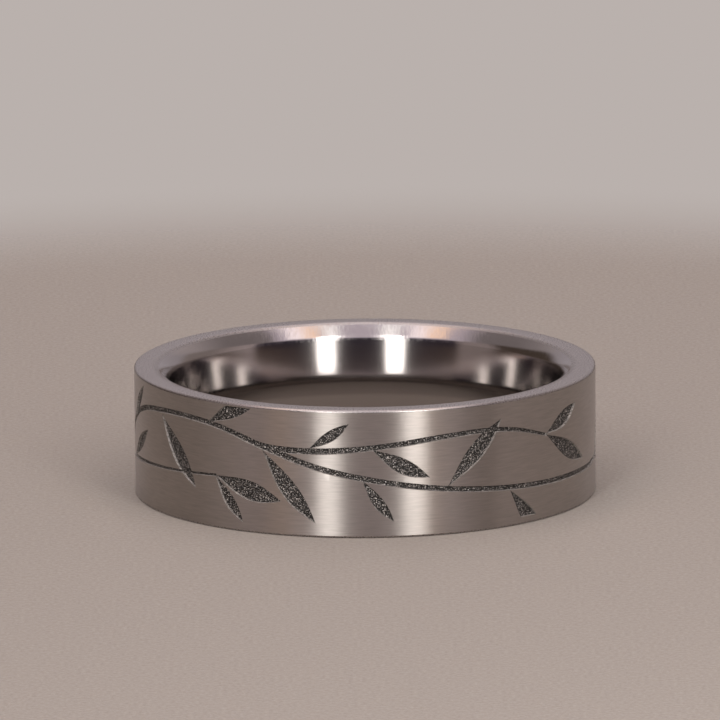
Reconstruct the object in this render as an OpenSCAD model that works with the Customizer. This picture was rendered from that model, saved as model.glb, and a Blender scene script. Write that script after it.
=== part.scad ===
// Comfort-fit wedding band, flat outside, with a leafy vine engraved round it.
// Origin: centre of the lower rim. +Z is the finger axis. Angles are read round
// +Z from the front (-Y) towards +X.

/* [Band] */
// Inside diameter at the middle of the band
bore_diameter = 17.75; // [14.25:0.25:22]
// Wall thickness at the middle of the band
wall = 1.975; // [1.9:0.025:2.4]
// Width of the band along the finger
band_width = 6; // [5:0.5:6.5]
// Chamfer on the two outer edges
edge_chamfer = 0.1; // [0.05:0.05:0.2]

/* [Comfort fit] */
// Length of the straight stretch of the bore
bore_land = 0.5; // [0.5:0.25:1.5]
// Radius that turns the straight stretch into the flare
knee_radius = 2.7; // [2:0.1:4]
// Angle at which the bore flares towards each rim
flare_angle = 10; // [6:0.5:12]
// Radius that rolls each flare into its rim
lip_radius = 0.9; // [0.5:0.05:1]

/* [Engraving] */
// Depth from the outer face down to the blackened floor
engraving_depth = 0.1; // [0.08:0.01:0.2]
// Thickness of the blackened layer on the floor
layer_thickness = 0.03; // [0.02:0.01:0.05]
// Plain margin between the lower rim and the engraving
margin_below = 0.35; // [0.25:0.05:0.6]
// Plain margin between the upper rim and the engraving
margin_above = 0.15; // [0.15:0.05:0.3]

/* [Vine] */
// Width of the main stem
stem_width = 0.29; // [0.2:0.01:0.35]
// Width of a side branch where it leaves the main stem
branch_width = 0.3; // [0.2:0.01:0.35]
// Width of a side branch at its tip
branch_tip_width = 0.14; // [0.1:0.01:0.2]

/* [Hidden] */
$fn = 180;

bore_radius = bore_diameter / 2;
outer_radius = bore_radius + wall;
floor_radius = outer_radius - engraving_depth;
pocket_radius = floor_radius - layer_thickness;

// The vine is drawn over half a turn of a band 6 mm wide. It repeats round the
// band, and its heights stretch with the band's width.
repeats = 2;
repeat_angle = 360 / repeats;
stretch = band_width / 6;

// The main stem over one repeat: [angle, height above the lower rim].
STEM = [
    [-100, 1.75], [-91, 2.40], [-82, 3.80], [-73, 4.60], [-62, 4.93],
    [-50, 5.02], [-38, 4.80], [-26, 4.13], [-12, 3.28], [2, 2.70],
    [16, 2.27], [30, 1.98], [46, 1.78], [63, 1.70],
];

// The side branches of one repeat. Each starts on the main stem and ends at a
// pair of leaves.
BRANCHES = [
    [[-31, 4.42], [-25, 4.12], [-16, 4.04], [-6, 4.11], [6, 4.33],
     [18, 4.60], [30, 4.72], [40, 4.55], [51, 3.99]],
    [[-104, 1.73], [-95, 1.80], [-83, 1.98], [-70, 2.13], [-55, 2.30],
     [-39.5, 2.50]],
];

// The leaves of one repeat: angle and height of the base, angle and height of
// the tip, then the bulge to the left and to the right of the line from base
// to tip. The margins cut off what runs past them.
LEAVES = [
    [-60.8, 4.80, -46.4, 1.70, 0.44, 0.46],
    [-42.4, 4.93, -26.5, 6.30, 0.42, 0.32],
    [-26.0, 3.98, -12.3, 0.66, 0.35, 0.47],
    [-14.0, 4.15, -4.0, 5.38, 0.22, 0.28],
    [1.4, 4.18, 15.9, 2.76, 0.30, 0.43],
    [20.4, 2.25, 35.5, 5.18, 0.43, 0.40],
    [-0.9, 2.75, 7.0, 0.75, 0.22, 0.31],
    [38.0, 1.75, 50.6, -1.15, 0.40, 0.42],
    [50.6, 4.02, 64.5, 5.05, 0.33, 0.42],
    [50.6, 4.00, 69.6, 2.23, 0.34, 0.48],
    [-39.8, 2.50, -21.0, 1.60, 0.43, 0.49],
    [-39.8, 2.50, -31.5, 0.45, 0.26, 0.32],
    [-82.5, 3.80, -72.3, 5.70, 0.26, 0.30],
    [-82.5, 2.00, -69.2, 3.70, 0.30, 0.34],
    [-97.5, 1.85, -89.0, 4.75, 0.32, 0.34],
    [-95.5, 1.80, -85.0, 0.55, 0.24, 0.30],
];

// Straight steps between two listed points of a stem.
steps = 3;

// How far the cutting shapes reach in and out of the outer face.
reach = 0.5;

// ---- Curves on the band ----

// Millimetres round the outer face for each degree.
degree = PI / 180 * outer_radius;

// Place in space of the point [angle, height], at radius r.
function on_band(p, r) = [r * sin(p[0]), -r * cos(p[0]), p[1] * stretch];

// Millimetres round the outer face and up it, from point a to point b.
function across(a, b) = [(b[0] - a[0]) * degree, (b[1] - a[1]) * stretch];

// Smooth curve through b and c, with a and d as their neighbours.
function blend(a, b, c, d, t) =
    b + (c - a) * t / 2
      + (2 * a - 5 * b + 4 * c - d) * t * t / 2
      + (3 * b - a - 3 * c + d) * t * t * t / 2;

// A list of points with a smooth curve through them. The first and the last
// point only set the direction of the ends.
function smooth(points) = [
    for (i = [1 : len(points) - 3], k = [0 : steps - 1])
        blend(points[i - 1], points[i], points[i + 1], points[i + 2], k / steps),
    points[len(points) - 2],
];

// The points that an open curve needs beyond its two ends.
function with_ends(points) = concat(
    [2 * points[0] - points[1]],
    points,
    [2 * points[len(points) - 1] - points[len(points) - 2]]
);

// The four corners of a stem's section at point i, on a path of the given width.
function section(path, i, width) =
    let (
        before = path[max(i - 1, 0)],
        after = path[min(i + 1, len(path) - 1)],
        along = across(before, after),
        half = width / 2 / norm(along),
        side = [-along[1] * half / degree, along[0] * half / stretch]
    ) [
        on_band(path[i] + side, outer_radius - reach),
        on_band(path[i] + side, outer_radius + reach),
        on_band(path[i] - side, outer_radius + reach),
        on_band(path[i] - side, outer_radius - reach),
    ];

// The four side faces between section i and section j, as eight triangles.
function sides(i, j) = [
    for (k = [0 : 3], half = [0, 1])
        let (n = (k + 1) % 4)
        half == 0 ? [4 * i + k, 4 * j + n, 4 * i + n] : [4 * i + k, 4 * j + k, 4 * j + n]
];

// A stretch of stem that narrows from one width to the other.
module taper(path, from_width, to_width) {
    last = len(path) - 1;
    points = [
        for (i = [0 : last])
            each section(path, i, from_width + (to_width - from_width) * i / last)
    ];
    faces = concat(
        [[0, 1, 2], [0, 2, 3]],
        [for (i = [0 : last - 1]) each sides(i, i + 1)],
        [[4 * last, 4 * last + 2, 4 * last + 1], [4 * last, 4 * last + 3, 4 * last + 2]]
    );
    polyhedron(points, faces);
}

// A stem of one width that runs right round the band and meets itself.
module garland(path, width) {
    count = len(path) - 2;
    points = [for (i = [1 : count]) each section(path, i, width)];
    faces = [for (i = [0 : count - 1]) each sides(i, (i + 1) % count)];
    polyhedron(points, faces);
}

// ---- Shapes of the vine, cut by the engraved strip ----

// The ring-shaped space between two radii and the two margins.
module strip(inner, outer) {
    height = band_width - margin_below - margin_above;
    translate([0, 0, margin_below])
        difference() {
            cylinder(r = outer, h = height);
            translate([0, 0, -1]) cylinder(r = inner, h = height + 2);
        }
}

// Two arcs through the same two ends, one on each side of the line between.
module leaf_outline(length, left, right) {
    left_radius = (length * length / 4 + left * left) / (2 * left);
    right_radius = (length * length / 4 + right * right) / (2 * right);
    intersection() {
        translate([0, left - left_radius]) circle(left_radius);
        translate([0, right_radius - right]) circle(right_radius);
    }
}

// One leaf, as a prism that points out through the face at the leaf's middle.
module leaf(base, tip, left, right) {
    middle = (base + tip) / 2;
    along = across(base, tip);
    rotate([0, 0, middle[0]])
        rotate([90, 0, 0])
            translate([0, middle[1] * stretch, outer_radius - 2 * reach])
                rotate([0, 0, atan2(along[1], along[0])])
                    linear_extrude(4 * reach) leaf_outline(norm(along), left, right);
}

module around() {
    for (i = [0 : repeats - 1])
        rotate([0, 0, i * repeat_angle]) children();
}

module stem_shape() {
    count = len(STEM);
    loop = [
        for (i = [-1 : count * repeats + 1])
            STEM[(i + count) % count] + [repeat_angle * floor(i / count), 0]
    ];
    path = smooth(loop);
    around_path = concat([path[len(path) - 2] - [360, 0]], path);
    garland(around_path, stem_width);
}

module branch_shapes() {
    around()
        for (branch = BRANCHES)
            taper(smooth(with_ends(branch)), branch_width, branch_tip_width);
}

module leaf_shapes() {
    around()
        for (l = LEAVES)
            leaf([l[0], l[1]], [l[2], l[3]], l[4], l[5]);
}

// ---- Sub-parts ----

// Half of the bore's outline, from the straight land up to the upper rim.
function flare() =
    let (
        land_end = (band_width + bore_land) / 2,
        knee_x = bore_radius + knee_radius,
        lip_z = band_width - lip_radius,
        flare_from = land_end + knee_radius * sin(flare_angle),
        flare_to = lip_z + lip_radius * sin(flare_angle),
        lip_x = knee_x + (flare_to - flare_from) * tan(flare_angle)
              - (knee_radius - lip_radius) * cos(flare_angle)
    ) concat(
        [for (i = [0 : 5]) let (a = flare_angle * i / 5)
            [knee_x - knee_radius * cos(a), land_end + knee_radius * sin(a)]],
        [for (i = [0 : 10]) let (a = flare_angle + (90 - flare_angle) * i / 10)
            [lip_x - lip_radius * cos(a), lip_z + lip_radius * sin(a)]]
    );

// The bare ring, before it is engraved.
module blank() {
    upper = flare();
    lower = [for (i = [len(upper) - 1 : -1 : 0]) [upper[i][0], band_width - upper[i][1]]];
    rotate_extrude()
        polygon(concat(lower, upper, [
            [outer_radius - edge_chamfer, band_width],
            [outer_radius, band_width - edge_chamfer],
            [outer_radius, edge_chamfer],
            [outer_radius - edge_chamfer, 0],
        ]));
}

// The metal ring with the vine sunk into its outer face.
module band() {
    color([0.62, 0.58, 0.56])
        difference() {
            blank();
            intersection() {
                strip(pocket_radius, outer_radius + reach / 2);
                union() {
                    stem_shape();
                    branch_shapes();
                    leaf_shapes();
                }
            }
        }
}

// Blackened metal on the floor of the main stem.
module blackened_stem() {
    color([0.16, 0.15, 0.15])
        intersection() {
            strip(pocket_radius, floor_radius);
            stem_shape();
        }
}

// Blackened metal on the floors of the side branches, up to the main stem.
module blackened_branches() {
    color([0.19, 0.18, 0.17])
        difference() {
            intersection() {
                strip(pocket_radius, floor_radius);
                branch_shapes();
            }
            stem_shape();
        }
}

// Blackened metal on the floors of the leaves, up to the stem and branches.
module blackened_leaves() {
    color([0.24, 0.23, 0.22])
        difference() {
            intersection() {
                strip(pocket_radius, floor_radius);
                leaf_shapes();
            }
            stem_shape();
            branch_shapes();
        }
}

band();
blackened_stem();
blackened_branches();
blackened_leaves();
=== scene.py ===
"""Wedding band with an engraved vine: the looks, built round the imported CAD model."""

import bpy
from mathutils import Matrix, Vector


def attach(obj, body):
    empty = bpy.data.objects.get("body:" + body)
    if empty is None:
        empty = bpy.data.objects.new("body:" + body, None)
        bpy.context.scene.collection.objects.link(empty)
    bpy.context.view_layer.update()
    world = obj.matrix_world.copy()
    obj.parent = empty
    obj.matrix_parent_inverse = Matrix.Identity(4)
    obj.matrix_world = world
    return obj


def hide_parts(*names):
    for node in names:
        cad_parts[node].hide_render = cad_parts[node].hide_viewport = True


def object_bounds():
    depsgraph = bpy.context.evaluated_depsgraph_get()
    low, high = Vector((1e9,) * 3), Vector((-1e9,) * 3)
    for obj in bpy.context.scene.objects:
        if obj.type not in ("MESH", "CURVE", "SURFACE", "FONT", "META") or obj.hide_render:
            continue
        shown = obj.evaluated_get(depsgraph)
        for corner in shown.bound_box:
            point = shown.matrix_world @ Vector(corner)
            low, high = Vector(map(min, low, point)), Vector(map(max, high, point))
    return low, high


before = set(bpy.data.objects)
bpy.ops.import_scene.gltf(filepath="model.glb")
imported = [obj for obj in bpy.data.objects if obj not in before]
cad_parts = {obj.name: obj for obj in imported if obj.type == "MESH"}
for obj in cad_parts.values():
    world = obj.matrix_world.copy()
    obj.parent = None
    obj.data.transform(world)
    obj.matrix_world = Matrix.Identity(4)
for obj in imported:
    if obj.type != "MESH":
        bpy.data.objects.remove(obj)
cad_box = [list(corner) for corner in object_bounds()]

import math
import random

import bmesh
import bpy
import numpy as np
from mathutils import Matrix, Vector
from mathutils.geometry import delaunay_2d_cdt

# ---- Sizes, in millimetres, angles in degrees ----

MM = 0.001
OUTER_RADIUS = cad_box[1][0] / MM
WIDTH = cad_box[1][2] / MM
EDGE_ROUND = 0.1

# The bore: a straight land at mid-width, a knee, a flare that opens very slightly
# as it rises, and a lip that rolls into the rim.
BORE_RADIUS = 8.875
BORE_LAND = 0.5
KNEE_RADIUS = 2.7
FLARE_FROM = 9.4
FLARE_TO = 10.6
LIP_RADIUS = 0.9
# Slope beyond which the lip is finished like the rim.
RIM_FROM = math.radians(70)

# The engraving: its depth, the dark layer on its floor, how near the vine comes to
# the rims, and how far the walls of a pocket lean in on their way down.
ENGRAVING_DEPTH = 0.1
LAYER = 0.03
MARGIN_BELOW = 0.35
MARGIN_ABOVE = 0.15
WALL_RUN = 0.02

FLOOR_RADIUS = OUTER_RADIUS - ENGRAVING_DEPTH
POCKET_RADIUS = FLOOR_RADIUS - LAYER

# The vine repeats round the band. One degree of it is this long on the outer face.
REPEATS = 2
REPEAT_ANGLE = 360 / REPEATS
DEGREE = math.pi / 180 * OUTER_RADIUS

# Straight steps round the band, the same in the bore and on the outer face, then
# round one outer edge, across one rim and up the outer face.
STEPS_ROUND = 480
EDGE_STEPS = 6
RIM_STEPS = 3
FACE_STEPS = 16

# The grains of the blackened floor: their spacing, the part of it that they stray, how
# far they rise and fall, and how far they stay from the foot of the walls.
GRAIN = 0.06
GRAIN_STRAY = 0.3
GRAIN_HEIGHT = 0.016
GRAIN_MARGIN = 0.02

# Points of a mesh closer than this, in metres, become one.
WELD = 2e-7
# Shading breaks at an edge sharper than this, in radians.
SHARP = 0.7

random.seed(31)

# ---- The vine over one repeat: angle from the front, height above the lower rim ----

# The main stem: angle, height, width.
STEM = [
    (-100, 1.75, 0.27),
    (-91, 2.40, 0.27),
    (-82, 3.80, 0.27),
    (-73, 4.60, 0.27),
    (-62, 4.93, 0.27),
    (-50, 5.02, 0.27),
    (-38, 4.80, 0.28),
    (-26, 4.13, 0.31),
    (-12, 3.28, 0.30),
    (2, 2.70, 0.29),
    (16, 2.27, 0.28),
    (30, 1.98, 0.27),
    (46, 1.78, 0.27),
    (63, 1.70, 0.27),
]

# The side branches: angle, height, width.
BRANCHES = [
    [
        (-31, 4.42, 0.28),
        (-25, 4.12, 0.32),
        (-16, 4.04, 0.31),
        (-6, 4.11, 0.30),
        (6, 4.33, 0.28),
        (18, 4.60, 0.27),
        (30, 4.72, 0.25),
        (40, 4.55, 0.21),
        (51, 3.99, 0.14),
    ],
    [
        (-104, 1.73, 0.26),
        (-95, 1.80, 0.26),
        (-83, 1.98, 0.22),
        (-70, 2.13, 0.19),
        (-55, 2.30, 0.15),
        (-39.5, 2.50, 0.14),
    ],
]

# The leaves: base angle and height, tip angle and height, bulge to the left
# and to the right of the line from base to tip.
LEAVES = [
    (-60.8, 4.80, -46.4, 1.70, 0.44, 0.46),
    (-42.4, 4.93, -26.5, 6.30, 0.42, 0.32),
    (-26.0, 3.98, -12.3, 0.66, 0.35, 0.47),
    (-14.0, 4.15, -4.0, 5.38, 0.22, 0.28),
    (1.4, 4.18, 15.9, 2.76, 0.30, 0.43),
    (20.4, 2.25, 35.5, 5.18, 0.43, 0.40),
    (-0.9, 2.75, 7.0, 0.75, 0.22, 0.31),
    (38.0, 1.75, 50.6, -1.15, 0.40, 0.42),
    (50.6, 4.02, 64.5, 5.05, 0.33, 0.42),
    (50.6, 4.00, 69.6, 2.23, 0.34, 0.48),
    (-39.8, 2.50, -21.0, 1.60, 0.43, 0.49),
    (-39.8, 2.50, -31.5, 0.45, 0.26, 0.32),
    (-82.5, 3.80, -72.3, 5.70, 0.26, 0.30),
    (-82.5, 2.00, -69.2, 3.70, 0.30, 0.34),
    (-97.5, 1.85, -89.0, 4.75, 0.32, 0.34),
    (-95.5, 1.80, -85.0, 0.55, 0.24, 0.30),
]

# A power over 1 moves the widest place of a leaf towards its tip.
LEAF_SKEW = 1.15
# The pointed ends of a leaf are pulled in this many times as far as its sides.
BASE_PULL = 3
TIP_PULL = 2.5

# ---- Outlines on the unrolled outer face, in millimetres ----

# Shapes of the neighbouring repeats are kept up to this far past the seam.
SEAM_REACH = 1


def unroll(rows):
    """Rows that start with an angle, as an array that starts with a distance round the band."""
    table = np.array(rows, float)
    table[:, 0] *= DEGREE
    return table


def smooth(points, steps=8):
    """Smooth curve through all points but the first and last, which only steer it."""
    curve = []
    for a, b, c, d in zip(points, points[1:], points[2:], points[3:]):
        for k in range(steps):
            t = k / steps
            square = 2 * a - 5 * b + 4 * c - d
            cube = 3 * b - a - 3 * c + d
            curve.append(b + (c - a) * t / 2 + square * t**2 / 2 + cube * t**3 / 2)
    curve.append(points[-2])
    return np.array(curve)


def ribbon(path, inset):
    """Outline of a stem along path, whose rows are place and width, pulled in by inset."""
    centre = path[:, :2].copy()
    ahead = np.gradient(centre, axis=0)
    ahead /= np.linalg.norm(ahead, axis=1)[:, None]
    centre[0] += ahead[0] * inset
    centre[-1] -= ahead[-1] * inset
    side = np.stack([-ahead[:, 1], ahead[:, 0]], 1) * (path[:, 2:] / 2 - inset)
    return np.concatenate([centre - side, (centre + side)[::-1]])


def leaf(row, inset, steps=22):
    """Outline of a leaf, slender at its base and blunter at its tip, pulled in by inset."""
    base_angle, base_height, tip_angle, tip_height, left, right = row
    base = np.array([base_angle * DEGREE, base_height])
    tip = np.array([tip_angle * DEGREE, tip_height])
    ahead = (tip - base) / np.linalg.norm(tip - base)
    side = np.array([-ahead[1], ahead[0]])
    base = base + ahead * inset * BASE_PULL
    tip = tip - ahead * inset * TIP_PULL

    def edge(t, bulge):
        """Point of the outline beside a fraction t of the line from base to tip."""
        return base + (tip - base) * t + side * bulge * math.sin(math.pi * t**LEAF_SKEW)

    right_edge = [edge(k / steps, inset - right) for k in range(steps)]
    left_edge = [edge(1 - k / steps, left - inset) for k in range(steps)]
    return np.array(right_edge + left_edge)


def clip(outline, height, keep_below):
    """The part of an outline that lies below, or above, a height."""
    sign = 1 if keep_below else -1
    kept = []
    for here, after in zip(outline, np.roll(outline, -1, axis=0)):
        inside_here = sign * (height - here[1])
        inside_after = sign * (height - after[1])
        if inside_here >= 0:
            kept.append(here)
        if inside_here * inside_after < 0:
            kept.append(here + (after - here) * inside_here / (inside_here - inside_after))
    return np.array(kept)


def vine_shapes(inset):
    """Every outline of the vine as (layer, outline), over one repeat and its neighbours."""
    period = REPEAT_ANGLE * DEGREE
    stem = unroll(STEM)
    turn = np.array([period, 0, 0])
    stems = np.concatenate([stem - turn, stem, stem + turn])
    shapes = [("stem", ribbon(smooth(stems), inset))]
    single = []
    for branch in BRANCHES:
        points = unroll(branch)
        before = 2 * points[0] - points[1]
        after = 2 * points[-1] - points[-2]
        path = smooth(np.concatenate([[before], points, [after]]))
        single.append(("branch", ribbon(path, inset)))
    for row in LEAVES:
        outline = leaf(row, inset)
        outline = clip(outline, WIDTH - MARGIN_ABOVE - inset, True)
        outline = clip(outline, MARGIN_BELOW + inset, False)
        single.append(("leaf", outline))
    for shift in (-period, 0, period):
        for layer, outline in single:
            moved = outline + np.array([shift, 0])
            reaches_left = moved[:, 0].max() > -period / 2 - SEAM_REACH
            reaches_right = moved[:, 0].min() < period / 2 + SEAM_REACH
            if reaches_left and reaches_right:
                shapes.append((layer, moved))
    return shapes


# ---- Triangulation of one repeat of the outer face ----

HALF_TURN = REPEAT_ANGLE * DEGREE / 2
LOW_EDGE = EDGE_ROUND
HIGH_EDGE = WIDTH - EDGE_ROUND

# Zones of the outer face. Where floors cross, the first of them in this order wins.
FACE, WALL, STEM_FLOOR, BRANCH_FLOOR, LEAF_FLOOR = range(5)
FLOOR_OF = {"stem": STEM_FLOOR, "branch": BRANCH_FLOOR, "leaf": LEAF_FLOOR}

# Spacing of the points that keep the outer face round, and how many stand above each other.
FACE_PITCH = 0.36
FACE_ROWS = 15
# Corners of the triangulation closer than this are one, and a seam is found to within this.
SAME_CORNER = 1e-7
ON_SEAM = 1e-5


def border_points():
    """Points round the edge of one repeat of the outer face, one for each step of the band."""
    columns = STEPS_ROUND // REPEATS
    across = [2 * HALF_TURN * i / columns for i in range(columns)]
    up = [(HIGH_EDGE - LOW_EDGE) * i / FACE_STEPS for i in range(FACE_STEPS)]
    low = [(-HALF_TURN + step, LOW_EDGE) for step in across]
    right = [(HALF_TURN, LOW_EDGE + step) for step in up]
    high = [(HALF_TURN - step, HIGH_EDGE) for step in across]
    left = [(-HALF_TURN, HIGH_EDGE - step) for step in up]
    return low + right + high + left


def face_points():
    """Staggered points that keep the outer face round between its borders."""
    points = []
    columns = STEPS_ROUND // REPEATS // 2
    for i in range(1, columns):
        u = -HALF_TURN + 2 * HALF_TURN * i / columns
        lift = FACE_PITCH / 2 if i % 2 else FACE_PITCH
        points += [(u, LOW_EDGE + lift + FACE_PITCH * k) for k in range(FACE_ROWS)]
    return points


def grain_points():
    """Uneven points all over one repeat, for the grains of the blackened floor."""
    points = []
    columns = int(2 * HALF_TURN / GRAIN)
    rows = int((HIGH_EDGE - LOW_EDGE) / GRAIN)
    for i in range(1, columns):
        for k in range(1, rows):
            stray_u = random.uniform(-GRAIN_STRAY, GRAIN_STRAY)
            stray_z = random.uniform(-GRAIN_STRAY, GRAIN_STRAY)
            u = -HALF_TURN + GRAIN * (i + stray_u)
            z = LOW_EDGE + GRAIN * (k + 0.5 * (i % 2) + stray_z)
            points.append((u, z))
    return points


def inside_any(points, outlines):
    """Which of the points lie inside at least one of the outlines."""
    points = np.array(points)
    found = np.zeros(len(points), bool)
    for outline in outlines:
        near = (points >= outline.min(0)).all(1) & (points <= outline.max(0)).all(1)
        x, y = points[near].T
        crossings = np.zeros(len(x), int)
        for a, b in zip(outline, np.roll(outline, -1, axis=0)):
            if a[1] == b[1]:
                continue
            spans = (a[1] > y) != (b[1] > y)
            crossings += spans & (x < a[0] + (y - a[1]) * (b[0] - a[0]) / (b[1] - a[1]))
        found[near] |= crossings % 2 == 1
    return found


def triangulate(shapes, loose):
    """Triangles of one repeat: corner places, triples of corners and the shapes over each."""
    corners = list(border_points())
    border = len(corners)
    edges = [(i, (i + 1) % border) for i in range(border)]
    faces = []
    for _, outline in shapes:
        first = len(corners)
        corners += [tuple(p) for p in outline]
        faces.append(list(range(first, len(corners))))
    corners += loose
    corners = [Vector(corner) for corner in corners]
    whole_hull = 0
    places, _, triples, _, _, over = delaunay_2d_cdt(
        corners, edges, faces, whole_hull, SAME_CORNER, True
    )
    kept = []
    for triple, shapes_over in zip(triples, over):
        middle = sum((places[i] for i in triple), Vector((0, 0))) / 3
        if abs(middle.x) < HALF_TURN and LOW_EDGE < middle.y < HIGH_EDGE:
            kept.append((tuple(triple), shapes_over))
    return np.array([tuple(p) for p in places]), kept


def zone_of(shapes_over, shapes, inner_from):
    """Which zone a triangle is in, from the outlines that hold it."""
    inner = [shapes[i][0] for i in shapes_over if i >= inner_from]
    if not inner:
        return WALL if shapes_over else FACE
    return min(FLOOR_OF[layer] for layer in inner)


def unrolled_face(loose):
    """One repeat of the outer face as places, triples and their zones."""
    outer = vine_shapes(0)
    inner = vine_shapes(WALL_RUN)
    shapes = outer + inner
    places, kept = triangulate(shapes, loose)
    triples = [triple for triple, _ in kept]
    zones = [zone_of(over, shapes, len(outer)) for _, over in kept]
    return places, np.array(triples), np.array(zones)


def corner_depths(places, triples, zones):
    """How deep each corner lies: 0 on the outer face, 1 on the engraved floor."""
    on_face = np.zeros(len(places), bool)
    on_floor = np.zeros(len(places), bool)
    on_face[triples[zones == FACE].ravel()] = True
    on_floor[triples[zones >= STEM_FLOOR].ravel()] = True
    depths = on_floor.astype(float)
    between = ~on_face & ~on_floor
    used = np.zeros(len(places), bool)
    used[triples.ravel()] = True
    high = places[on_face]
    low = places[on_floor]
    for i in np.flatnonzero(between & used):
        up = np.linalg.norm(high - places[i], axis=1).min()
        down = np.linalg.norm(low - places[i], axis=1).min()
        depths[i] = up / (up + down)
    return depths


# ---- Mesh pieces ----

# Finishes of the metal, in the order of the band's materials.
OUTER_FINISH, WALL_FINISH, UNDER_FINISH, RIM_FINISH, LIP_FINISH, BORE_FINISH = range(6)


def rolled(place, radius, repeat):
    """Point in space, in metres, of a place on the unrolled face at a radius."""
    angle = math.radians(place[0] / DEGREE + REPEAT_ANGLE * repeat)
    return Vector((radius * math.sin(angle), -radius * math.cos(angle), place[1])) * MM


def add_points(bm, places, indices, radius, repeat):
    """Points of the mesh at one radius, by their index in places."""
    return {i: bm.verts.new(rolled(places[i], radius, repeat)) for i in indices}


def weld(bm):
    """Joins the points that meet and turns every face outwards."""
    bmesh.ops.remove_doubles(bm, verts=bm.verts[:], dist=WELD)
    bmesh.ops.recalc_face_normals(bm, faces=bm.faces[:])


def new_piece(name, bm, materials, node):
    """Makes a Blender object from a bmesh and ties it to the CAD."""
    mesh = bpy.data.meshes.new(name)
    bm.to_mesh(mesh)
    bm.free()
    for material in materials:
        mesh.materials.append(material)
    piece = bpy.data.objects.new(name, mesh)
    bpy.context.scene.collection.objects.link(piece)
    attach(piece, "root")
    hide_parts(node)


def half_bore():
    """Upper half of the bore's section, from mid-width up to the rim.

    Each row is radius, height and the finish of the strip that leads to it.
    """
    knee = math.radians(FLARE_FROM)
    lip = math.radians(FLARE_TO)
    radius = BORE_RADIUS
    height = (WIDTH + BORE_LAND) / 2
    rise = WIDTH - height - KNEE_RADIUS * math.sin(knee) - LIP_RADIUS * (1 - math.sin(lip))
    flare_radius = rise / (math.sin(lip) - math.sin(knee))
    # Radius of each arc, the slopes between which it runs, its steps and its finish.
    arcs = [
        (KNEE_RADIUS, 0, knee, 10, BORE_FINISH),
        (flare_radius, knee, lip, 6, BORE_FINISH),
        (LIP_RADIUS, lip, math.pi / 2, 20, LIP_FINISH),
    ]
    rows = [(radius, height, BORE_FINISH)]
    for arc_radius, start, end, steps, finish in arcs:
        for i in range(steps):
            a = start + (end - start) * i / steps
            b = start + (end - start) * (i + 1) / steps
            radius += arc_radius * (math.cos(a) - math.cos(b))
            height += arc_radius * (math.sin(b) - math.sin(a))
            rows.append((radius, height, RIM_FINISH if b > RIM_FROM else finish))
    return rows


def section_profile():
    """Section of the band from the upper edge of its outer face, through the bore, to the lower.

    Each row is radius, height and the finish of the strip that follows.
    """
    upper = []
    outer = OUTER_RADIUS - EDGE_ROUND
    for i in range(EDGE_STEPS + 1):
        a = math.pi / 2 * i / EDGE_STEPS
        radius = outer + EDGE_ROUND * math.cos(a)
        upper.append((radius, HIGH_EDGE + EDGE_ROUND * math.sin(a), RIM_FINISH))
    bore = half_bore()[::-1]
    inner = bore[0][0]
    for i in range(1, RIM_STEPS):
        upper.append((outer + (inner - outer) * i / RIM_STEPS, WIDTH, RIM_FINISH))
    upper += bore
    lower = []
    for (radius, height, _), (_, _, finish) in zip(upper[::-1], upper[-2::-1] + upper[:1]):
        lower.append((radius, WIDTH - height, finish))
    return upper + lower


def add_outer_face(bm, places, triples, zones, repeat):
    """One repeat of the outer face, with the walls and undersides of its pockets."""
    depths = corner_depths(places, triples, zones)
    is_floor = zones >= STEM_FLOOR
    top = {}
    for i in np.unique(triples[~is_floor]):
        radius = OUTER_RADIUS - ENGRAVING_DEPTH * depths[i]
        top[i] = bm.verts.new(rolled(places[i], radius, repeat))
    under = add_points(bm, places, np.unique(triples[is_floor]), POCKET_RADIUS, repeat)
    for triple, zone, floor in zip(triples, zones, is_floor):
        points = under if floor else top
        face = bm.faces.new([points[i] for i in triple])
        if floor:
            face.material_index = UNDER_FINISH
        else:
            face.material_index = OUTER_FINISH if zone == FACE else WALL_FINISH
    for a, b in border_edges(triples[is_floor]):
        if not on_seam(places[a], places[b]):
            face = bm.faces.new([under[b], under[a], top[a], top[b]])
            face.material_index = UNDER_FINISH


def add_turned_faces(bm):
    """The rounded edges, the rims and the bore: the section turned round the axis."""
    profile = section_profile()
    rings = []
    for radius, height, _ in profile:
        ring = []
        for i in range(STEPS_ROUND):
            a = 2 * math.pi * i / STEPS_ROUND
            point = Vector((radius * math.sin(a), -radius * math.cos(a), height))
            ring.append(bm.verts.new(point * MM))
        rings.append(ring)
    for ring, after, (_, _, finish) in zip(rings, rings[1:], profile):
        for i in range(STEPS_ROUND):
            n = (i + 1) % STEPS_ROUND
            face = bm.faces.new([ring[i], ring[n], after[n], after[i]])
            face.material_index = finish


def set_shading(bm):
    """Smooth faces, with sharp edges where the finish or the direction changes."""
    soft_pairs = ({RIM_FINISH, LIP_FINISH}, {LIP_FINISH, BORE_FINISH})
    for face in bm.faces:
        face.smooth = True
    for edge in bm.edges:
        if len(edge.link_faces) != 2:
            continue
        one, two = edge.link_faces
        finishes = {one.material_index, two.material_index}
        changes = len(finishes) == 2 and finishes not in soft_pairs
        edge.smooth = not changes and edge.calc_face_angle() < SHARP


def make_band(places, triples, zones, materials):
    """The metal band as one closed mesh: outer face, engraved pockets, rims and bore."""
    bm = bmesh.new()
    for repeat in range(REPEATS):
        add_outer_face(bm, places, triples, zones, repeat)
    add_turned_faces(bm)
    weld(bm)
    set_shading(bm)
    new_piece("band_metal", bm, materials, "band")


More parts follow.
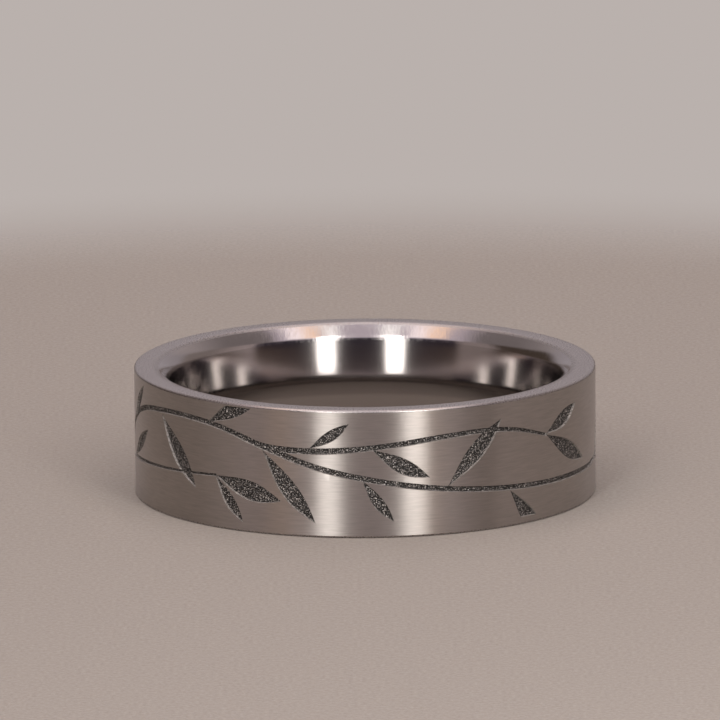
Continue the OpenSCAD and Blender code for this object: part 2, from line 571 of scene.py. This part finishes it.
def make_floor(name, node, zone, fine, lifts, coarse, material):
    """The blackened layer in one kind of pocket: a thin slab with a grainy top.

    Its top comes from the fine triangulation and its underside from the coarse one.
    """
    bm = bmesh.new()
    places, triples, zones = fine
    mine = triples[zones == zone]
    border = border_edges(mine)
    # The top stays level where it meets the walls.
    level = {i for edge in border_edges(triples[zones >= STEM_FLOOR]) for i in edge}
    under_places, under_triples, under_zones = coarse
    under_mine = under_triples[under_zones == zone]
    for repeat in range(REPEATS):
        top = {}
        for i in np.unique(mine):
            lift = 0 if i in level else lifts[i]
            top[i] = bm.verts.new(rolled(places[i], FLOOR_RADIUS + lift, repeat))
        for triple in mine:
            bm.faces.new([top[i] for i in triple])
        low = add_points(bm, under_places, np.unique(under_mine), POCKET_RADIUS, repeat)
        for a, b, c in under_mine:
            bm.faces.new([low[c], low[b], low[a]])
        skirt = add_points(bm, places, np.unique(border), POCKET_RADIUS, repeat)
        for a, b in border:
            if not on_seam(places[a], places[b]):
                bm.faces.new([top[b], top[a], skirt[a], skirt[b]])
    weld(bm)
    new_piece(name, bm, [material], node)


def on_seam(a, b):
    """Whether an edge lies where one repeat of the vine meets the next."""
    return min(abs(a[0]), abs(b[0])) > HALF_TURN - ON_SEAM


def border_edges(triples):
    """Edges that only one of the triangles has, in that triangle's direction."""
    found = {}
    for triple in triples:
        for a, b in zip(triple, np.roll(triple, -1)):
            a, b = int(a), int(b)
            if (b, a) in found:
                del found[(b, a)]
            else:
                found[(a, b)] = True
    return list(found)


# ---- Materials ----

# Colours as linear red, green and blue. A pair is the darkest and the lightest.
LIP_METAL = (0.415, 0.385, 0.375)
SATIN_METAL = (0.385, 0.357, 0.345)
POLISHED_METAL = (0.36, 0.334, 0.321)
BRUSHED_METAL = (0.405, 0.376, 0.354), (0.495, 0.458, 0.429)
# Walls of the engraving: the spread is random grain, and the darkness of both ends is painted
# shade in the pockets.
CUT_METAL_AND_PAINTED_SHADE = (0.12, 0.11, 0.1), (0.5, 0.47, 0.44)
BLACKENED = (0.02, 0.019, 0.018), (0.52, 0.49, 0.46)
TABLE = (0.295, 0.27, 0.243), (0.396, 0.367, 0.331)


class Nodes:
    """Short way to build one material's node tree."""

    def __init__(self, name):
        self.material = bpy.data.materials.new(name)
        self.material.use_nodes = True
        self.tree = self.material.node_tree
        self.shader = self.tree.nodes["Principled BSDF"]

    def add(self, kind, inputs=(), **settings):
        """A new node, with plain values or links for its inputs."""
        node = self.tree.nodes.new(kind)
        for key, value in settings.items():
            setattr(node, key, value)
        for key, value in dict(inputs).items():
            if isinstance(value, bpy.types.NodeSocket):
                self.tree.links.new(value, node.inputs[key])
            else:
                node.inputs[key].default_value = value
        return node

    def place(self):
        """Object coordinates, in metres."""
        return self.add("ShaderNodeTexCoord").outputs["Object"]

    def stretched(self, scale, turn=(0, 0, 0)):
        """Object coordinates in millimetres, times a scale along each axis."""
        inputs = {"Vector": self.place(), "Scale": [s / MM for s in scale], "Rotation": turn}
        return self.add("ShaderNodeMapping", inputs).outputs["Vector"]

    def noise(self, place, detail=2.0, rough=0.5):
        """Noise at a place whose coordinates are scaled already."""
        inputs = {"Vector": place, "Scale": 1.0, "Detail": detail, "Roughness": rough}
        return self.add("ShaderNodeTexNoise", inputs).outputs["Fac"]

    def compute(self, operation, one, two):
        """The result of a sum on two values."""
        return self.add("ShaderNodeMath", {0: one, 1: two}, operation=operation).outputs[0]

    def spread(self, value, low, high, to_low=0, to_high=1, **settings):
        """A value mapped from one span to another, and held at its ends."""
        inputs = {
            "Value": value,
            "From Min": low,
            "From Max": high,
            "To Min": to_low,
            "To Max": to_high,
        }
        return self.add("ShaderNodeMapRange", inputs, **settings).outputs["Result"]

    def varied(self, noise, low, high):
        """A value that wanders between two with a noise, which keeps mostly to 0.3 to 0.7."""
        return self.spread(noise, 0.3, 0.7, low, high)

    def tint(self, value, dark, light):
        """A colour between two, by a value from 0 to 1."""
        mix = self.add("ShaderNodeMix", data_type="RGBA")
        self.tree.links.new(value, mix.inputs["Factor"])
        mix.inputs["A"].default_value = (*dark, 1)
        mix.inputs["B"].default_value = (*light, 1)
        return mix.outputs["Result"]

    def bump(self, height, depth):
        """Normals of a surface raised by up to a depth in millimetres."""
        inputs = {"Height": height, "Distance": depth * MM}
        return self.add("ShaderNodeBump", inputs).outputs["Normal"]

    def set(self, sockets):
        """Gives the shader's sockets their values: plain ones directly, others by a link."""
        for name, value in sockets.items():
            socket = self.shader.inputs[name]
            if isinstance(value, bpy.types.NodeSocket):
                self.tree.links.new(value, socket)
            else:
                socket.default_value = value


def brushed_titanium():
    """Outer face: fine brush lines round the band, drawn out into vertical highlights."""
    nodes = Nodes("brushed_titanium")
    fine = nodes.noise(nodes.stretched((1.1, 1.1, 38)), detail=3, rough=0.65)
    coarse = nodes.noise(nodes.stretched((1.2, 1.2, 15)), detail=2)
    cloud = nodes.noise(nodes.stretched((0.35, 0.35, 0.5)), detail=1)
    lines = nodes.compute("ADD", fine, coarse)
    tangent = nodes.add("ShaderNodeTangent", direction_type="RADIAL", axis="Z")
    nodes.set(
        {
            "Base Color": nodes.tint(nodes.spread(lines, 0.7, 1.3), *BRUSHED_METAL),
            "Metallic": 1.0,
            "Roughness": nodes.varied(cloud, 0.31, 0.34),
            "Anisotropic": 1.0,
            "Anisotropic Rotation": 0.25,
            "Tangent": tangent.outputs["Tangent"],
            "Normal": nodes.bump(fine, 0.0012),
        }
    )
    return nodes.material


def satin_titanium():
    """Rims and rounded edges: even fine satin."""
    nodes = Nodes("satin_titanium")
    grain = nodes.noise(nodes.stretched((14, 14, 14)), detail=3, rough=0.6)
    nodes.set(
        {
            "Base Color": (*SATIN_METAL, 1),
            "Metallic": 1.0,
            "Roughness": nodes.varied(grain, 0.24, 0.32),
            "Normal": nodes.bump(grain, 0.0025),
        }
    )
    return nodes.material


def tooled_titanium():
    """Lip of the bore: polished, with faint slanting tool marks left in it."""
    nodes = Nodes("tooled_titanium")
    marks = nodes.noise(nodes.stretched((9, 3, 3), turn=(0, 0.6, 0)), detail=2)
    nodes.set(
        {
            "Base Color": (*LIP_METAL, 1),
            "Metallic": 1.0,
            "Roughness": nodes.varied(marks, 0.1, 0.2),
            "Normal": nodes.bump(marks, 0.002),
        }
    )
    return nodes.material


def polished_titanium():
    """Bore: mirror polish with a faint haze."""
    nodes = Nodes("polished_titanium")
    haze = nodes.noise(nodes.stretched((0.6, 0.6, 0.6)), detail=2)
    nodes.set(
        {
            "Base Color": (*POLISHED_METAL, 1),
            "Metallic": 1.0,
            "Roughness": nodes.varied(haze, 0.12, 0.14),
        }
    )
    return nodes.material


def cut_titanium():
    """Walls of the engraving: bare metal, rough from the laser, with random grain in its tone,
    and its colour darkened overall as painted shade in the pockets.
    """
    nodes = Nodes("cut_titanium")
    grain = nodes.noise(nodes.stretched((11, 11, 11)), detail=3, rough=0.7)
    nodes.set(
        {
            "Base Color": nodes.tint(nodes.spread(grain, 0.35, 0.65), *CUT_METAL_AND_PAINTED_SHADE),
            "Metallic": 0.3,
            "Roughness": 0.65,
            "Normal": nodes.bump(grain, 0.02),
        }
    )
    return nodes.material


def blackened_titanium():
    """Floor of the engraving: dark, grainy, with bright grains here and there."""
    nodes = Nodes("blackened_titanium")
    grain = nodes.noise(nodes.stretched((13, 13, 13)), detail=3, rough=0.7)
    spark = nodes.noise(nodes.stretched((19, 19, 19)), detail=1)
    nodes.set(
        {
            "Base Color": nodes.tint(nodes.spread(spark, 0.54, 0.68), *BLACKENED),
            "Metallic": 0.5,
            "Roughness": nodes.varied(grain, 0.32, 0.52),
            "Normal": nodes.bump(grain, 0.012),
        }
    )
    return nodes.material


# ---- Build the object ----


def floor_grains():
    """The grain points that lie on the floors of the vine, clear of the walls."""
    grid = grain_points()
    outlines = [outline for _, outline in vine_shapes(WALL_RUN + GRAIN_MARGIN)]
    return [point for point, inside in zip(grid, inside_any(grid, outlines)) if inside]


def make_ring():
    """The band and the three blackened floors."""
    # One material for each finish, in the order of the finishes.
    metals = [
        brushed_titanium(),
        cut_titanium(),
        cut_titanium(),
        satin_titanium(),
        tooled_titanium(),
        polished_titanium(),
    ]
    black = blackened_titanium()
    grains = floor_grains()
    coarse = unrolled_face(face_points())
    fine = unrolled_face(grains)
    lifts = [random.uniform(-GRAIN_HEIGHT, GRAIN_HEIGHT) for _ in fine[0]]
    make_band(*coarse, metals)
    for name, node, zone in (
        ("stem_floor", "blackened_stem", STEM_FLOOR),
        ("branch_floors", "blackened_branches", BRANCH_FLOOR),
        ("leaf_floors", "blackened_leaves", LEAF_FLOOR),
    ):
        make_floor(name, node, zone, fine, lifts, coarse, black)


make_ring()

# ---- Stage: a pale round table that fades into the backdrop, in metres ----

TABLE_RADIUS = 0.09
FADE_FROM = 0.053
FADE_TO = 0.079


def table_paper():
    """Matt, slightly mottled paper that turns clear towards the edge of the table."""
    nodes = Nodes("table_paper")
    grain = nodes.noise(nodes.stretched((5, 5, 5)), detail=4, rough=0.75)
    distance = nodes.add("ShaderNodeVectorMath", {0: nodes.place()}, operation="LENGTH")
    nodes.set(
        {
            "Base Color": nodes.tint(nodes.varied(grain, 0, 1), *TABLE),
            "Roughness": 0.9,
            "Specular IOR Level": 0.2,
            "Normal": nodes.bump(grain, 0.04),
            "Alpha": nodes.spread(
                distance.outputs["Value"],
                FADE_FROM,
                FADE_TO,
                to_low=1,
                to_high=0,
                interpolation_type="SMOOTHSTEP",
            ),
        }
    )
    return nodes.material


def make_table():
    """The table on which the ring stands."""
    bpy.ops.mesh.primitive_circle_add(vertices=256, radius=TABLE_RADIUS, fill_type="NGON")
    table = bpy.context.object
    table.name = "table"
    table.data.materials.append(table_paper())


make_table()

# ---- Light ----

# Colours of the room, as linear red, green and blue.
DARK = (0.044, 0.035, 0.051)
BEHIND = (0.46, 0.41, 0.43)
LEFT_SHADE = (0.1, 0.075, 0.06)
RIGHT_WALL = (0.34, 0.285, 0.27)
BACKDROP = (0.49, 0.44, 0.418)
LOW = (0.135, 0.095, 0.075)
LILAC = (0.88, 0.77, 0.86)
PALE_GREY = (0.54, 0.47, 0.47)
SIDE_GREY = (0.3, 0.26, 0.26)
ORANGE = (1.98, 1.42, 1.08)
WHITE = (2.2, 1.97, 2.0)
GLARE = (2.3, 2.25, 2.2)

# The room round the ring above the edge of the table: azimuth from the front, colour.
LEVEL = [
    (-180, BEHIND),
    (-152, BEHIND),
    (-138, LEFT_SHADE),
    (-90, LEFT_SHADE),
    (-80, (0.42, 0.35, 0.34)),
    (-60, (0.43, 0.35, 0.34)),
    (-55, DARK),
    (66, DARK),
    (72, (0.6, 0.5, 0.5)),
    (85, (0.48, 0.4, 0.39)),
    (105, RIGHT_WALL),
    (130, RIGHT_WALL),
    (142, BEHIND),
    (180, BEHIND),
]

# The ceiling, and the strips on it that run from front to back and would meet far
# behind. MEETING is that place as seen from the ring, and azimuths here are round it.
MEETING = (0, 0.977, -0.213)
CEILING = [
    (-180, PALE_GREY),
    (-75, PALE_GREY),
    (-50, SIDE_GREY),
    (-36, SIDE_GREY),
    (-28, LILAC),
    (26, LILAC),
    (29, SIDE_GREY),
    (44, SIDE_GREY),
    (58, PALE_GREY),
    (180, PALE_GREY),
]
STRIPS = [
    (-25, LILAC),
    (-24, ORANGE),
    (-19, ORANGE),
    (-18, WHITE),
    (-14, WHITE),
    (-13, LILAC),
    (-10.5, LILAC),
    (-9.5, GLARE),
    (-5.4, GLARE),
    (-4.4, LILAC),
    (7, LILAC),
    (8, GLARE),
    (11.5, GLARE),
    (12.3, LILAC),
    (12.8, LILAC),
    (13.6, ORANGE),
    (17.5, ORANGE),
    (18.5, WHITE),
    (23, WHITE),
    (24, LILAC),
]

# Elevations, in degrees, between which each part of the room gives way to the next.
BACKDROP_TO_LOW = (-4, -3)
LOW_TO_EDGE = (4.2, 5.6)
EDGE_TO_LEVEL = (6.2, 8.8)
LEVEL_TO_CEILING = (21, 27)
CEILING_TO_STRIPS = (28, 32)


class Room(Nodes):
    """The node tree of the world, coloured by azimuth and elevation."""

    def __init__(self):
        world = bpy.data.worlds.new("room")
        world.use_nodes = True
        bpy.context.scene.world = world
        self.tree = world.node_tree
        self.shader = self.tree.nodes["Background"]
        self.direction = self.add("ShaderNodeTexCoord").outputs["Generated"]
        self.height = self.add("ShaderNodeSeparateXYZ", {0: self.direction}).outputs["Z"]

    def azimuth(self, direction):
        """Angle round the ring from the front, as 0 to 1 for -180 to 180 degrees."""
        parts = self.add("ShaderNodeSeparateXYZ", {0: direction})
        front = self.compute("MULTIPLY", parts.outputs["Y"], -1)
        turn = self.compute("ARCTAN2", parts.outputs["X"], front)
        return self.spread(turn, -math.pi, math.pi)

    def round_colors(self, azimuth, stops):
        """Colours by azimuth, from a list of stops."""
        node = self.add("ShaderNodeValToRGB", {"Fac": azimuth})
        elements = node.color_ramp.elements
        while len(elements) < len(stops):
            elements.new(1)
        for element, (degrees, color) in zip(elements, stops):
            element.position = (degrees + 180) / 360
            element.color = (*color, 1)
        return node.outputs["Color"]

    def over(self, elevations, below, above):
        """One colour below the first of two elevations and another above the second."""
        low, high = (math.sin(math.radians(elevation)) for elevation in elevations)
        rise = self.spread(self.height, low, high)
        mix = self.add("ShaderNodeMix", data_type="RGBA")
        self.tree.links.new(rise, mix.inputs["Factor"])
        for key, color in (("A", below), ("B", above)):
            if isinstance(color, bpy.types.NodeSocket):
                self.tree.links.new(color, mix.inputs[key])
            else:
                mix.inputs[key].default_value = (*color, 1)
        return mix.outputs["Result"]


def make_room():
    """The room as seen in the metal: a dark front, grey sides, a pale ceiling and backdrop."""
    room = Room()
    from_ring = room.azimuth(room.direction)
    table_edge = [(degrees, LOW if color is DARK else color) for degrees, color in LEVEL]
    edge = room.round_colors(from_ring, table_edge)
    walls = room.over(EDGE_TO_LEVEL, edge, room.round_colors(from_ring, LEVEL))
    lower = room.over(LOW_TO_EDGE, LOW, walls)
    ends = {0: room.direction, 1: MEETING}
    offset = room.add("ShaderNodeVectorMath", ends, operation="SUBTRACT")
    from_meeting = room.azimuth(offset.outputs["Vector"])
    plain = room.round_colors(from_meeting, CEILING)
    striped = room.round_colors(from_meeting, sorted(CEILING + STRIPS))
    ceiling = room.over(CEILING_TO_STRIPS, plain, striped)
    upper = room.over(LEVEL_TO_CEILING, lower, ceiling)
    room.set({"Color": room.over(BACKDROP_TO_LOW, BACKDROP, upper)})


make_room()

# Each lamp is a tall strip with a round lower end: side, azimuth, distance in metres.
LAMPS = [
    ("right", 24, 0.12),
    ("left", -18.5, 0.3),
]
# Width of both lamps and the elevations of their parts, in degrees.
LAMP_WIDTH = 10.9
STRIP_SPAN = (8.2, 41)
ROUND_END_SPAN = (6.2, 10.2)
LAMP_RADIANCE = 6.7
LAMP_COLOR = (1.0, 0.98, 0.955)


def make_lamp(name, azimuth, distance, span, shape):
    """An upright soft lamp that faces the ring."""
    bottom, top = (distance * math.tan(math.radians(elevation)) for elevation in span)
    data = bpy.data.lights.new(name, "AREA")
    data.shape = shape
    data.size = 2 * distance * math.tan(math.radians(LAMP_WIDTH / 2))
    data.size_y = top - bottom
    area = data.size * data.size_y
    if shape == "ELLIPSE":
        area *= math.pi / 4
    data.energy = LAMP_RADIANCE * area * math.pi
    data.color = LAMP_COLOR
    lamp = bpy.data.objects.new(name, data)
    a = math.radians(azimuth)
    lamp.location = (distance * math.sin(a), -distance * math.cos(a), (top + bottom) / 2)
    facing = Vector((-math.sin(a), math.cos(a), 0))
    lamp.rotation_euler = facing.to_track_quat("-Z", "Y").to_euler()
    lamp.visible_camera = False
    bpy.context.scene.collection.objects.link(lamp)


for side, azimuth, distance in LAMPS:
    make_lamp(side + "_lamp", azimuth, distance, STRIP_SPAN, "RECTANGLE")
    make_lamp(side + "_lamp_end", azimuth, distance, ROUND_END_SPAN, "ELLIPSE")

# ---- Camera ----

# Where the camera stands and what it looks at, in millimetres, and its roll in degrees.
CAMERA_PLACE = (0, -447.485, 97.895)
CAMERA_AIM = (-0.2235, 0.634, 6.040)
CAMERA_ROLL = -0.377
# Focal length and width of the sensor, in millimetres.
LENS = 485.5
SENSOR = 36


def make_camera():
    """A long lens, low in front of the ring."""
    data = bpy.data.cameras.new("camera")
    data.sensor_width = SENSOR
    data.lens = LENS
    data.clip_start = 0.01
    data.clip_end = 10
    camera = bpy.data.objects.new("camera", data)
    camera.location = Vector(CAMERA_PLACE) * MM
    aim = Vector(CAMERA_AIM) * MM
    turn = (aim - camera.location).to_track_quat("-Z", "Y")
    roll = Matrix.Rotation(math.radians(CAMERA_ROLL), 3, "Z").to_quaternion()
    camera.rotation_mode = "QUATERNION"
    camera.rotation_quaternion = turn @ roll
    bpy.context.scene.collection.objects.link(camera)
    bpy.context.scene.camera = camera


make_camera()
bpy.context.scene.view_settings.view_transform = "Standard"
